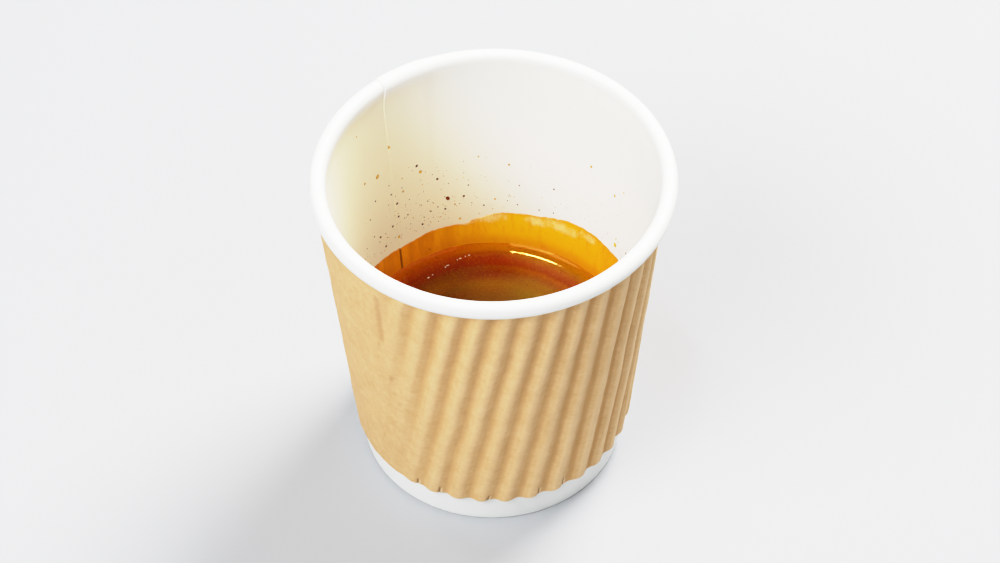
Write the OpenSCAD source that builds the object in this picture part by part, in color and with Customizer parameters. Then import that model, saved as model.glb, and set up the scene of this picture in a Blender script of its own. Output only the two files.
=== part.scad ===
// Espresso shot in a small ripple-wall paper cup.
// Millimetres. +Z is up, the cup's axis is Z, its foot stands on Z = 0 and its front is -Y.

/* [Cup] */
// height over the rolled rim
cup_h = 64.5; // [60:0.5:72]
// outside diameter of the rolled rim
rim_d = 62; // [60:0.5:68]
// outside diameter at the foot
foot_d = 47.1; // [44:0.5:50]
// thickness of the cup's board
board_t = 0.4; // [0.3:0.05:0.5]
// height and width of the rolled rim's section
roll_d = 2.86; // [2.4:0.1:3.2]
// height of the folded foot inside the cup
foot_fold_h = 5; // [4:0.25:5.5]

/* [Base] */
// height of the base's upper face over the table
base_up = 6; // [6:0.25:8]
// thickness of the base's board
base_t = 0.35; // [0.25:0.05:0.45]

/* [Ripple wrap] */
// height of the wrap's lower edge over the table
wrap_low = 6.8; // [5:0.2:12]
// thickness of the wrap's paper
wrap_t = 0.3; // [0.2:0.05:0.35]
// how far the flutes stand out from the cup's wall at the lower edge
stand_low = 1.05; // [0.9:0.05:1.4]
// how far the flutes stand out from the cup's wall at the upper edge
stand_top = 1.55; // [1.2:0.05:2]
// distance from one flute's crest to the next across the flutes
flute_pitch = 4.55; // [4:0.05:5.2]
// width of the pressed, glued lap at the lower edge
lap_w = 19.2; // [14:0.4:24]
// where the lap is, in degrees round the cup from +X
lap_turn = -154.4; // [-175:0.2:-145]

/* [Drink] */
// height of the drink's surface over the table
drink_level = 20.5; // [12:0.5:40]

/* [Fits] */
// space between the base and the board round it
base_gap = 0.05; // [0.02:0.01:0.06]
// space between the wrap's troughs and the cup's wall
wrap_gap = 0.1; // [0.06:0.01:0.14]
// space between the wrap's upper edge and the rolled rim
roll_gap = 0.14; // [0.1:0.02:0.4]
// space between the drink and the paper round it
drink_gap = 0.08; // [0.04:0.02:0.2]

/* [Hidden] */
$fn = 96;
roll_r = roll_d / 2;
roll_z = cup_h - roll_r;
// the wall runs straight from the foot to the height of the roll's centre
wall_top_r = rim_d / 2 - roll_d + board_t;
wall_slope = (wall_top_r - foot_d / 2) / roll_z;
function wall_r(z) = foot_d / 2 + wall_slope * z;
function inside_r(z) = wall_r(z) - board_t;
// the roll ends a little short of the wall, under the rim
roll_centre_r = rim_d / 2 - roll_r;
roll_end_turn = 234;

pocket_w = base_t + 2 * base_gap;
skirt_low = board_t + 0.2;

// the wrap is a fan cut from a flat fluted sheet: its flutes stay straight and side by side in the
// flat, along the middle of the fan, and the two ends of the fan meet in the pressed lap
wrap_top = cup_h - roll_d - roll_gap;
crest_low_r = wall_r(wrap_low) + stand_low;
crest_top_r = wall_r(wrap_top) + stand_top;
fan_half = atan((crest_top_r - crest_low_r) / (wrap_top - wrap_low));
fan_low = crest_low_r / sin(fan_half);
fan_top = crest_top_r / sin(fan_half);
fan_turn = 180 * sin(fan_half);
lap_half_turn = lap_w / 2 / crest_low_r * 180 / PI;
field_half = (180 - lap_half_turn) * sin(fan_half);
cols_per_flute = 8;
col_w = flute_pitch / cols_per_flute;
// columns to each side of the fan's middle, in all and at the lower edge
cols_side = floor(fan_top * sin(field_half) / col_w - 0.001);
cols_low = floor(fan_low * sin(field_half) / col_w - 0.001);
// how far the outermost whole column wanders round the cup, and how far one facet may turn
// before it would touch the round wall behind it
col_drift = (field_half - asin(fan_low * sin(field_half) / fan_top)) / sin(fan_half);
facet_turn = 2 * acos(1 - 0.75 * wrap_gap / crest_low_r);
col_rows = max(5, ceil(col_drift / facet_turn));
lap_cols = max(12, ceil(2 * lap_half_turn / facet_turn));
// a crest stands this far from the fan's middle
flute_shift = flute_pitch / 2;
// the flutes fade out over this turn, in degrees of the flat fan, before they reach the lap
fade_turn = 0.9;
// how deep the pressed lap lies under the crests, as a share of the flutes' height
lap_sink = 0.35;

function stand_at(rho) =
    stand_low + (stand_top - stand_low) * (rho - fan_low) / (fan_top - fan_low);
function height_at(rho) = wrap_low + (rho - fan_low) * cos(fan_half);
function flute_h(rho) = stand_at(rho) - wrap_gap - wrap_t;
function ease(t) = t <= 0 ? 0 : t >= 1 ? 1 : t * t * (3 - 2 * t);
// how much of its full depth a flute has at a turn of the fan
function fluted(psi) = ease((field_half - abs(psi)) / fade_turn);
function trough(x) = pow((1 - cos(360 * (x - flute_shift) / flute_pitch)) / 2, 1.2);
// how far the paper's outer face lies inside the crests
function sink(psi, rho) =
    flute_h(rho) * (lap_sink + (trough(rho * sin(psi)) - lap_sink) * fluted(psi));

// a point of the wrap's paper, on its outer face or its inner one
function outer_point(psi, rho) =
    let (a = lap_turn + 180 + psi / sin(fan_half))
    let (r = rho * sin(fan_half) - sink(psi, rho))
    [r * cos(a), r * sin(a), height_at(rho)];
function inner_point(psi, rho) =
    let (a = lap_turn + 180 + psi / sin(fan_half))
    let (r_paper = rho * sin(fan_half) - sink(psi, rho) - wrap_t)
    let (r_wall = wall_r(height_at(rho)) + wrap_gap)
    let (r = r_wall + (r_paper - r_wall) * fluted(psi))
    [r * cos(a), r * sin(a), height_at(rho)];

// places on the flat fan, as [turn, distance from the fan's centre]
function col_x(i) = (i - cols_side) * col_w;
function col_low(i) = max(fan_low, abs(col_x(i)) / sin(field_half));
function col_place(i, j) =
    let (rho = col_low(i) + (fan_top - col_low(i)) * j / col_rows)
    [asin(col_x(i) / rho), rho];
col_count = 2 * cols_side + 1;
// heights of the lap's rows: the lower edge, each column's end on the lap, the upper edge
lap_rows = cols_side - cols_low + 1;
function lap_rho(l) =
    l == 0 ? fan_low : l == lap_rows ? fan_top : col_low(cols_side + cols_low + l);
function lap_place(l, m) =
    [field_half + (2 * fan_turn - 2 * field_half) * m / lap_cols, lap_rho(l)];

field_places = [for (i = [0:col_count - 1]) for (j = [0:col_rows]) col_place(i, j)];
lap_places = [for (l = [0:lap_rows]) for (m = [0:lap_cols]) lap_place(l, m)];
// a lap point on the field's side is the same point as the field's column end there
lap_base = len(field_places);
skin_count = lap_base + len(lap_places);
function col_at(i, j) = i * (col_rows + 1) + j;
function lap_at(l, m) =
    let (inner = l > 0 && l < lap_rows)
    inner && m == 0 ? col_at(cols_side + cols_low + l, 0) :
    inner && m == lap_cols ? col_at(cols_side - cols_low - l, 0) :
    lap_base + l * (lap_cols + 1) + m;
function quad(a, b, c, d) = [[a, b, c], [a, c, d]];

// one skin of the paper, wound so that it faces outwards
field_faces = [
    for (i = [0:col_count - 2])
        for (j = [0:col_rows - 1])
            each quad(col_at(i, j), col_at(i, j + 1), col_at(i + 1, j + 1), col_at(i + 1, j))
];
corner_faces = [
    [col_at(cols_side + cols_low, 0), col_at(cols_side + cols_low + 1, 0), lap_at(0, 0)],
    [col_at(cols_side - cols_low, 0), lap_at(0, lap_cols), col_at(cols_side - cols_low - 1, 0)],
    for (j = [0:col_rows - 1])
        [col_at(col_count - 1, j), col_at(col_count - 1, j + 1), lap_at(lap_rows, 0)],
    for (j = [0:col_rows - 1])
        [col_at(0, j), lap_at(lap_rows, lap_cols), col_at(0, j + 1)]
];
lap_faces = [
    for (l = [0:lap_rows - 1])
        for (m = [0:lap_cols - 1])
            each quad(lap_at(l, m), lap_at(l + 1, m), lap_at(l + 1, m + 1), lap_at(l, m + 1))
];
skin_faces = concat(field_faces, corner_faces, lap_faces);
low_ring = concat(
    [for (i = [cols_side - cols_low:cols_side + cols_low]) col_at(i, 0)],
    [for (m = [0:lap_cols]) lap_at(0, m)]
);
top_ring = concat(
    [for (i = [0:col_count - 1]) col_at(i, col_rows)],
    [for (m = [0:lap_cols]) lap_at(lap_rows, m)]
);
function flip(f) = [f[0] + skin_count, f[2] + skin_count, f[1] + skin_count];
function edge_faces(ring) = [
    for (k = [0:len(ring) - 1])
        let (a = ring[k])
        let (b = ring[(k + 1) % len(ring)])
        each quad(a, b, b + skin_count, a + skin_count)
];
function turned(faces) = [for (f = faces) [f[0], f[2], f[1]]];

// the wall's board seen in section, with its foot folded up inside
module wall_section() {
    polygon([
        [inside_r(0) - pocket_w - board_t, 0],
        [wall_r(0), 0],
        [wall_r(roll_z), roll_z],
        [inside_r(roll_z), roll_z],
        [inside_r(board_t), board_t],
        [inside_r(board_t) - pocket_w, board_t],
        [inside_r(foot_fold_h) - pocket_w, foot_fold_h],
        [inside_r(foot_fold_h) - pocket_w - board_t, foot_fold_h]
    ]);
}

// the rim's board seen in section, curled outwards and down to just short of the wall
module roll_section() {
    translate([roll_centre_r, roll_z])
        difference() {
            circle(r = roll_r);
            circle(r = roll_r - board_t);
            polygon([
                [0, 0],
                [-2 * roll_r, 0],
                [-2 * roll_r, -2 * roll_r],
                [2 * roll_r * cos(roll_end_turn), 2 * roll_r * sin(roll_end_turn)]
            ]);
        }
}

module cup_wall() {
    color([0.93, 0.94, 0.94])
        rotate_extrude() {
            wall_section();
            roll_section();
        }
}

// the base's board, with its edge turned down into the folded foot
module cup_base() {
    color([0.92, 0.93, 0.93])
        rotate_extrude()
            polygon([
                [0, base_up - base_t],
                [inside_r(base_up - base_t) - base_gap - base_t, base_up - base_t],
                [inside_r(skirt_low) - base_gap - base_t, skirt_low],
                [inside_r(skirt_low) - base_gap, skirt_low],
                [inside_r(base_up) - base_gap, base_up],
                [0, base_up]
            ]);
}

module ripple_wrap() {
    color([0.80, 0.64, 0.42])
        polyhedron(
            points = concat(
                [for (p = concat(field_places, lap_places)) outer_point(p[0], p[1])],
                [for (p = concat(field_places, lap_places)) inner_point(p[0], p[1])]
            ),
            faces = concat(
                skin_faces,
                [for (f = skin_faces) flip(f)],
                edge_faces(low_ring),
                turned(edge_faces(top_ring))
            )
        );
}

// the drink fills the cup from the base up to its level
module espresso() {
    color([0.32, 0.14, 0.03])
        translate([0, 0, base_up + drink_gap])
            cylinder(
                h = drink_level - base_up - drink_gap,
                r1 = inside_r(base_up + drink_gap) - drink_gap,
                r2 = inside_r(drink_level) - drink_gap
            );
}

cup_wall();
cup_base();
ripple_wrap();
espresso();
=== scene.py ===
"""Looks of an espresso shot in a small ripple-wall paper cup."""

import math

import bpy
import numpy as np
from mathutils import Matrix, Vector


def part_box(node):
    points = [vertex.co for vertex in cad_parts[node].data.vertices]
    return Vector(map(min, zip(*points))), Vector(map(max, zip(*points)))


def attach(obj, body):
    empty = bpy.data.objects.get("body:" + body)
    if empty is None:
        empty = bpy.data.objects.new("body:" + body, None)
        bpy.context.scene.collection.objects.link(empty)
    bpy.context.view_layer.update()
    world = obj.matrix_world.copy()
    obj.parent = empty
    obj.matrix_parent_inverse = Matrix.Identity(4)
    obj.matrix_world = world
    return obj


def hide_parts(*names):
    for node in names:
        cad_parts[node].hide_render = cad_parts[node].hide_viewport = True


MM = 0.001
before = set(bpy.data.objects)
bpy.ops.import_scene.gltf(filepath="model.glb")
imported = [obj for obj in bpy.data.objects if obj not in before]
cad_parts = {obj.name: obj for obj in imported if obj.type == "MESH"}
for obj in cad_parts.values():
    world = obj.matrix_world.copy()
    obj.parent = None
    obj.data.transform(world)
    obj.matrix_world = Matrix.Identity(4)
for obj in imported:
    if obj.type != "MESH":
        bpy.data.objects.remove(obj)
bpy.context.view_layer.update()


# ---------------------------------------------------------------- sizes, in millimetres


def node_points(node):
    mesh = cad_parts[node].data
    flat = np.empty(len(mesh.vertices) * 3)
    mesh.vertices.foreach_get("co", flat)
    return flat.reshape(-1, 3) / MM


def radius_at(node, height, reach=0.05):
    """Largest radius of a node's points near a height."""
    points = node_points(node)
    near = points[abs(points[:, 2] - height) < reach]
    return float(np.hypot(near[:, 0], near[:, 1]).max())


def heights(node):
    low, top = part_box(node)
    return low[2] / MM, top[2] / MM


CUP_H = heights("cup_wall")[1]
RIM_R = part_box("cup_wall")[1][0] / MM
FOOT_R = radius_at("cup_wall", 0.0)
BOARD = 0.4
ROLL_R = 1.43
ROLL_Z = CUP_H - ROLL_R
ROLL_CENTRE_R = RIM_R - ROLL_R
WALL_SLOPE = (RIM_R - 2 * ROLL_R + BOARD - FOOT_R) / ROLL_Z
FOLD_H = 5.0
POCKET = 0.45
BASE_UP = heights("cup_base")[1]
BASE_BOARD = 0.35
LEVEL = heights("espresso")[1]

WRAP_LOW, WRAP_TOP = heights("ripple_wrap")
CREST_LOW_R = radius_at("ripple_wrap", WRAP_LOW)
CREST_TOP_R = radius_at("ripple_wrap", WRAP_TOP)
PAPER = 0.3
WRAP_GAP = 0.1
FLUTE = 4.55
LAP_TURN = -154.4
LAP_HALF = 21.9


def wall_r(z):
    return FOOT_R + WALL_SLOPE * z


# ---------------------------------------------------------------- small helpers


def smooth(t):
    t = np.clip(t, 0.0, 1.0)
    return t * t * (3 - 2 * t)


def rise(x, low, high):
    """0 below low, 1 above high, smooth between. Swapped limits turn it round."""
    return smooth((x - low) / (high - low))


def turn_from(turn, start):
    """Signed turn in degrees from start, between -180 and 180."""
    return (np.asarray(turn) - start + 180.0) % 360.0 - 180.0


class Grain:
    """Smooth noise from -1 to 1 on a grid of seeded values; it closes after so many cells."""

    def __init__(self, seed, around=64, tall=64):
        self.table = np.random.RandomState(seed).uniform(-1, 1, (around, tall))

    def __call__(self, a, b):
        n, m = self.table.shape
        ia, ib = np.floor(a).astype(int), np.floor(b).astype(int)
        fa, fb = smooth(a - ia), smooth(b - ib)
        low = self.table[ia % n, ib % m] * (1 - fa) + self.table[(ia + 1) % n, ib % m] * fa
        top = (
            self.table[ia % n, (ib + 1) % m] * (1 - fa)
            + self.table[(ia + 1) % n, (ib + 1) % m] * fa
        )
        return low * (1 - fb) + top * fb

    def round_cup(self, turn, z, tall):
        """The noise wrapped once round the cup, with cells tall millimetres high."""
        return self(np.asarray(turn) / 360.0 * self.table.shape[0], np.asarray(z) / tall)


# ---------------------------------------------------------------- meshes

SHARP_FROM = 42  # degrees between faces
# numbers kept for each point: how many, and what they are
POINT_DATA = {1: ("FLOAT", "value"), 3: ("FLOAT_VECTOR", "vector"), 4: ("FLOAT_COLOR", "color")}


def add_mesh(name, points, faces, material, attributes=None):
    """A mesh piece from points in millimetres, wound outwards and shaded smooth."""
    points = np.asarray(points, float)
    tris = np.array([f[:3] for f in faces])
    more = np.array([(f[0], f[2], f[3]) for f in faces if len(f) == 4]).reshape(-1, 3)
    tris = np.vstack([tris, more])
    a, b, c = (points[tris[:, k]] for k in range(3))
    if np.einsum("ij,ij->i", a, np.cross(b, c)).sum() < 0:
        faces = [tuple(reversed(f)) for f in faces]
    mesh = bpy.data.meshes.new(name)
    mesh.from_pydata((points * MM).tolist(), [], faces)
    mesh.polygons.foreach_set("use_smooth", np.ones(len(mesh.polygons), bool))
    mesh.set_sharp_from_angle(angle=math.radians(SHARP_FROM))
    for key, values in (attributes or {}).items():
        values = np.asarray(values, np.float32)
        kind, field = POINT_DATA[1 if values.ndim == 1 else values.shape[1]]
        mesh.attributes.new(key, kind, "POINT").data.foreach_set(field, values.ravel())
    mesh.materials.append(material)
    mesh.update()
    piece = bpy.data.objects.new(name, mesh)
    bpy.context.scene.collection.objects.link(piece)
    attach(piece, "root")
    return piece


def ring_faces(cols, rows):
    """Faces of a grid that closes both round the cup and round its section."""
    i, j = np.meshgrid(np.arange(cols), np.arange(rows), indexing="ij")
    i, j = i.ravel(), j.ravel()
    ni, nj = (i + 1) % cols, (j + 1) % rows
    quads = np.stack([i * rows + j, ni * rows + j, ni * rows + nj, i * rows + nj], -1)
    return [tuple(q) for q in quads.tolist()]


def turned_faces(cols, rows):
    """Faces of a grid round the cup whose first and last rows meet at two points on the axis."""
    i, j = np.meshgrid(np.arange(cols), np.arange(rows - 1), indexing="ij")
    i, j = i.ravel(), j.ravel()
    ni = (i + 1) % cols
    quads = np.stack([i * rows + j, ni * rows + j, ni * rows + j + 1, i * rows + j + 1], -1)
    first, last = cols * rows, cols * rows + 1
    caps = [(first, ((k + 1) % cols) * rows, k * rows) for k in range(cols)]
    caps += [
        (last, k * rows + rows - 1, ((k + 1) % cols) * rows + rows - 1) for k in range(cols)
    ]
    return [tuple(q) for q in quads.tolist()] + caps


def spin(turn, r, z):
    """Points at a turn in degrees, a radius and a height."""
    a, r, z = np.broadcast_arrays(np.radians(turn), r, z)
    return np.stack([r * np.cos(a), r * np.sin(a), z], -1)


# ---------------------------------------------------------------- shader writing


class Wire:
    """A socket of a material's tree that can be used in sums."""

    def __init__(self, paint, socket):
        self.paint, self.socket = paint, socket

    def _math(self, operation, *others, first=None):
        values = [self if first is None else first, *others]
        return self.paint.node(
            "ShaderNodeMath", {"operation": operation}, dict(enumerate(values))
        )

    def __add__(self, other):
        return self._math("ADD", other)

    __radd__ = __add__

    def __sub__(self, other):
        return self._math("SUBTRACT", other)

    def __rsub__(self, other):
        return self._math("SUBTRACT", self, first=other)

    def __mul__(self, other):
        return self._math("MULTIPLY", other)

    __rmul__ = __mul__

    def __truediv__(self, other):
        return self._math("DIVIDE", other)

    def __pow__(self, other):
        return self._math("POWER", other)

    def most(self, other):
        return self._math("MAXIMUM", other)

    def rise(self, low, high):
        """0 below low and 1 above high, smooth between. Swapped limits turn it round."""
        flip = low > high
        low, high = min(low, high), max(low, high)
        out = self.paint.node(
            "ShaderNodeMapRange",
            {"interpolation_type": "SMOOTHSTEP"},
            {"Value": self, "From Min": low, "From Max": high},
        )
        return 1 - out if flip else out


class Paint:
    """One material, built node by node."""

    def __init__(self, name, **uniform):
        self.material = bpy.data.materials.new(name)
        self.material.use_nodes = True
        self.tree = self.material.node_tree
        self.surface = self.tree.nodes["Principled BSDF"]
        for key, value in uniform.items():
            self.surface.inputs[key.replace("_", " ")].default_value = value

    def node(self, kind, settings=None, sockets=None, out=0):
        made = self.tree.nodes.new(kind)
        for key, value in (settings or {}).items():
            if key == "stops":
                self._stops(made.color_ramp, value)
            else:
                setattr(made, key, value)
        for key, value in (sockets or {}).items():
            self._feed(made.inputs[key], value)
        return Wire(self, made.outputs[out])

    def _feed(self, socket, value):
        if isinstance(value, Wire):
            self.tree.links.new(value.socket, socket)
        else:
            socket.default_value = value

    @staticmethod
    def _stops(ramp, stops):
        while len(ramp.elements) < len(stops):
            ramp.elements.new(0.5)
        for element, (place, colour) in zip(ramp.elements, stops):
            element.position = place
            element.color = (*colour, 1)

    def feed(self, name, value):
        self._feed(self.surface.inputs[name], value)

    def place(self):
        """The point on the piece, in metres."""
        return self.node("ShaderNodeTexCoord", out="Object")

    def kept(self, attribute, out="Fac"):
        """What the mesh keeps for each point: a number, or with out Vector or Color the whole."""
        return self.node("ShaderNodeAttribute", {"attribute_name": attribute}, out=out)

    def split(self, vector):
        parts = self.node("ShaderNodeSeparateXYZ", None, {0: vector})
        return [Wire(self, parts.socket.node.outputs[k]) for k in range(3)]

    def stretched(self, vector, x, y, z):
        """The vector with each part multiplied."""
        settings = {"operation": "MULTIPLY"}
        return self.node("ShaderNodeVectorMath", settings, {0: vector, 1: (x, y, z)})

    def noise(self, vector, cell, detail=3.0, roughness=0.55, distortion=0.0):
        """Noise from 0 to 1 with features about cell metres across."""
        sockets = {"Vector": vector, "Scale": 1 / cell, "Detail": detail}
        sockets.update({"Roughness": roughness, "Distortion": distortion})
        return self.node("ShaderNodeTexNoise", None, sockets)

    def mix(self, share, a, b):
        """Colours a and b mixed by a share from 0 to 1."""
        settings = {"data_type": "RGBA", "clamp_factor": True}
        a, b = (c if isinstance(c, Wire) else (*c, 1) for c in (a, b))
        return self.node("ShaderNodeMix", settings, {0: share, 6: a, 7: b}, out=2)

    def ramp(self, share, *stops):
        return self.node("ShaderNodeValToRGB", {"stops": stops}, {0: share})

    def bump(self, height, distance, strength=1.0):
        """Bump from a height of 0 to 1 that stands for distance metres."""
        sockets = {"Height": height, "Distance": distance, "Strength": strength}
        self.feed("Normal", self.node("ShaderNodeBump", None, sockets))

    def turn_and_height(self):
        """Turn round the cup in degrees, cut at the front, and height in millimetres."""
        x, y, z = self.split(self.place())
        # measured from the back, so that the cut lies at the front
        from_back = self.node("ShaderNodeMath", {"operation": "ARCTAN2"}, {0: x * -1, 1: y})
        return from_back * (180 / math.pi) + 90, z * (1 / MM)


def srgb(r, g, b):
    """Linear colour from the usual 0 to 255 values."""

    def linear(v):
        v /= 255
        return v / 12.92 if v <= 0.04045 else ((v + 0.055) / 1.055) ** 2.4

    return (linear(r), linear(g), linear(b))


# ---------------------------------------------------------------- camera, floor and light

# metres and radians
CAMERA_AIM = (0.001516, 0.0, 0.037237)
CAMERA_AWAY = 0.48492
CAMERA_LIFT = 0.8372
CAMERA_ROLL = -0.0071
CAMERA_LENS, CAMERA_SENSOR = 100.0, 36.0  # millimetres
FLOOR_HALF = 1.5
TABLE_GREY = (0.440, 0.449, 0.470)
LAMP_AIM = (0, 0, 0.03)
LAMP_AWAY = 0.9
LAMP_SIZE = 0.45
SKY_TINT = (0.95, 0.97, 1.0)
SKY_STRENGTH = 0.26
# soft lamps: turn round the cup, angle up, watts and colour
LAMPS = {
    "window_back": (50, 49, 15.8, (1.0, 0.99, 0.96)),
    "window_front": (235, 45, 5.4, (0.98, 1.0, 1.0)),
    "window_left": (210, 45, 4.2, (0.98, 1.0, 1.0)),
    "wall_right": (320, 50, 0.8),
}


def add_camera():
    lift, roll = CAMERA_LIFT, CAMERA_ROLL
    ahead = Vector((0, math.cos(lift), -math.sin(lift)))
    right, up = Vector((1, 0, 0)), Vector((0, math.sin(lift), math.cos(lift)))
    x_axis = math.cos(roll) * right + math.sin(roll) * up
    y_axis = math.cos(roll) * up - math.sin(roll) * right
    data = bpy.data.cameras.new("camera")
    data.lens, data.sensor_width = CAMERA_LENS, CAMERA_SENSOR
    data.clip_start, data.clip_end = 0.01, 20.0
    camera = bpy.data.objects.new("camera", data)
    turn = Matrix((x_axis, y_axis, -ahead)).transposed().to_4x4()
    place = Vector(CAMERA_AIM) - ahead * CAMERA_AWAY
    camera.matrix_world = Matrix.Translation(place) @ turn
    bpy.context.scene.collection.objects.link(camera)
    bpy.context.scene.camera = camera


def add_floor():
    half = FLOOR_HALF
    mesh = bpy.data.meshes.new("floor")
    corners = [(-half, -half, 0), (half, -half, 0), (half, half, 0), (-half, half, 0)]
    mesh.from_pydata(corners, [], [(0, 1, 2, 3)])
    paint = Paint("pale_table", Roughness=0.85)
    paint.surface.inputs["Base Color"].default_value = (*TABLE_GREY, 1)
    mesh.materials.append(paint.material)
    floor = bpy.data.objects.new("floor", mesh)
    bpy.context.scene.collection.objects.link(floor)


def add_light(name, turn, lift, power, colour=(1, 1, 1), size=LAMP_SIZE, glint_turn=None):
    """A light at a turn round the cup and an angle up, facing the cup.

    One with a glint turn is a thin strip along that turn, only seen mirrored in glossy faces.
    """
    data = bpy.data.lights.new(name, "AREA")
    data.energy, data.color = power, colour
    if glint_turn is None:
        data.shape, data.size = "DISK", size
    else:
        data.shape, data.size, data.size_y = "RECTANGLE", size[0], size[1]
    lamp = bpy.data.objects.new(name, data)
    lamp.visible_diffuse = glint_turn is None
    a, b = math.radians(turn), math.radians(lift)
    away = Vector((math.cos(a) * math.cos(b), math.sin(a) * math.cos(b), math.sin(b)))
    lamp.location = Vector(LAMP_AIM) + away * LAMP_AWAY
    facing = away.to_track_quat("Z", "Y").to_matrix()
    if glint_turn is not None:
        c = math.radians(glint_turn)
        along = Vector((math.cos(c), math.sin(c), 0))
        along = (along - away * along.dot(away)).normalized()
        facing = Matrix((along, away.cross(along), away)).transposed()
    lamp.rotation_euler = facing.to_euler()
    bpy.context.scene.collection.objects.link(lamp)
    return lamp


def add_lighting():
    world = bpy.data.worlds.new("studio")
    world.use_nodes = True
    sky = world.node_tree.nodes["Background"]
    sky.inputs["Color"].default_value = (*SKY_TINT, 1)
    sky.inputs["Strength"].default_value = SKY_STRENGTH
    bpy.context.scene.world = world
    for name, lamp in LAMPS.items():
        add_light(name, *lamp)
    # a small lamp overhead sharpens the shadows and leaves no glint of its own
    ceiling = add_light("ceiling_lamp", 235, 82, 0.9, size=0.06)
    ceiling.visible_glossy = False
    # the long white glint on the drink
    add_light("glint_strip", 160.8, 76.7, 12.5, size=(0.20, 0.045), glint_turn=137.7)
    soften_highlights()


# scene light against shown light: bright parts are eased in like a bright, airy print
TONE = (
    (0.25, 0.25),
    (0.5, 0.5),
    (0.7, 0.675),
    (0.9, 0.79),
    (1.2, 0.87),
    (1.6, 0.93),
    (2.2, 0.975),
)
TONE_WHITE = 3.0


def soften_highlights():
    view = bpy.context.scene.view_settings
    view.view_transform, view.look = "Standard", "None"
    view.use_curve_mapping = True
    curve = view.curve_mapping
    curve.white_level = (TONE_WHITE,) * 3
    for light, shown in TONE:
        curve.curves[3].points.new(light / TONE_WHITE, shown)
    curve.update()


# ---------------------------------------------------------------- materials

BOARD_DIM, BOARD_PALE = (0.810, 0.812, 0.790), (0.845, 0.847, 0.825)
# painted warm shade for the lining, not a colour of the white board
LINING_PAINTED_SHADE = (0.845, 0.785, 0.545)
# a small coffee smudge on the front of the rolled rim, in metres
SMUDGE = (0.0222, -0.0205, 0.0640)
SMUDGE_R = 0.0009
SMUDGE_BROWN = (0.62, 0.44, 0.22)
BASE_DIM, BASE_PALE = (0.80, 0.80, 0.785), (0.88, 0.88, 0.87)


def board_paint():
    """White coated board: faint fibre cloudiness, a soft sheen and a hint of grain."""
    paint = Paint("coated_board", IOR=1.45)
    place = paint.place()
    cloud = paint.noise(place, 0.006, 3)
    fibre = paint.noise(paint.stretched(place, 1, 1, 0.35), 0.0007, 4, 0.6)
    tone = cloud * 0.6 + fibre * 0.4
    base = paint.mix(tone, BOARD_DIM, BOARD_PALE)
    # painted warm shade on the lining on the seam's side and low down, where it gets less light
    # and more light off the coffee
    base = paint.mix(paint.kept("cream"), base, LINING_PAINTED_SHADE)
    measure = {"operation": "DISTANCE"}
    off = paint.node("ShaderNodeVectorMath", measure, {0: place, 1: SMUDGE}, "Value")
    smudge = (off + (cloud - 0.5) * 0.001).rise(SMUDGE_R, 0.0002)
    base = paint.mix(smudge * 0.45, base, SMUDGE_BROWN)
    paint.feed("Base Color", base)
    paint.feed("Roughness", 0.42 + fibre * 0.16)
    paint.bump(fibre * 0.7 + cloud * 0.3, 0.00004)
    return paint.material


def base_paint():
    """The base's plainer board: more fibre and less sheen."""
    paint = Paint("base_board", IOR=1.45)
    place = paint.place()
    fibre = paint.noise(place, 0.0009, 4, 0.6)
    cloud = paint.noise(place, 0.008, 2)
    tone = fibre * 0.5 + cloud * 0.5
    paint.feed("Base Color", paint.mix(tone, BASE_DIM, BASE_PALE))
    paint.feed("Roughness", 0.5 + fibre * 0.2)
    paint.bump(fibre, 0.00005)
    return paint.material


KRAFT_TONES = ((0.580, 0.340, 0.132), (0.665, 0.415, 0.182), (0.735, 0.485, 0.236))
# painted highlight on the flutes' crests and painted shade in their troughs
CREST_PAINTED_HIGHLIGHT = (0.82, 0.61, 0.36)
TROUGH_PAINTED_SHADE = (0.47, 0.225, 0.055)
FLECK_DARK, FLECK_PALE = (0.34, 0.19, 0.07), (0.74, 0.58, 0.36)
# painted shade in the knife slits
SLIT_PAINTED_SHADE = (0.24, 0.115, 0.03)
BURR_PALE = (0.88, 0.72, 0.46)
# painted shade along the creases
CREASE_PAINTED_SHADE = (0.42, 0.21, 0.07)
# painted highlight along the wrap's cut edges
CUT_EDGE_HIGHLIGHT = (0.86, 0.74, 0.54)
# the painted crest highlight and trough shade grow stronger and fade back over these turns, in
# degrees
CONTRAST_FROM, CONTRAST_TO = (-95, -30), (110, 60)


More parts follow.
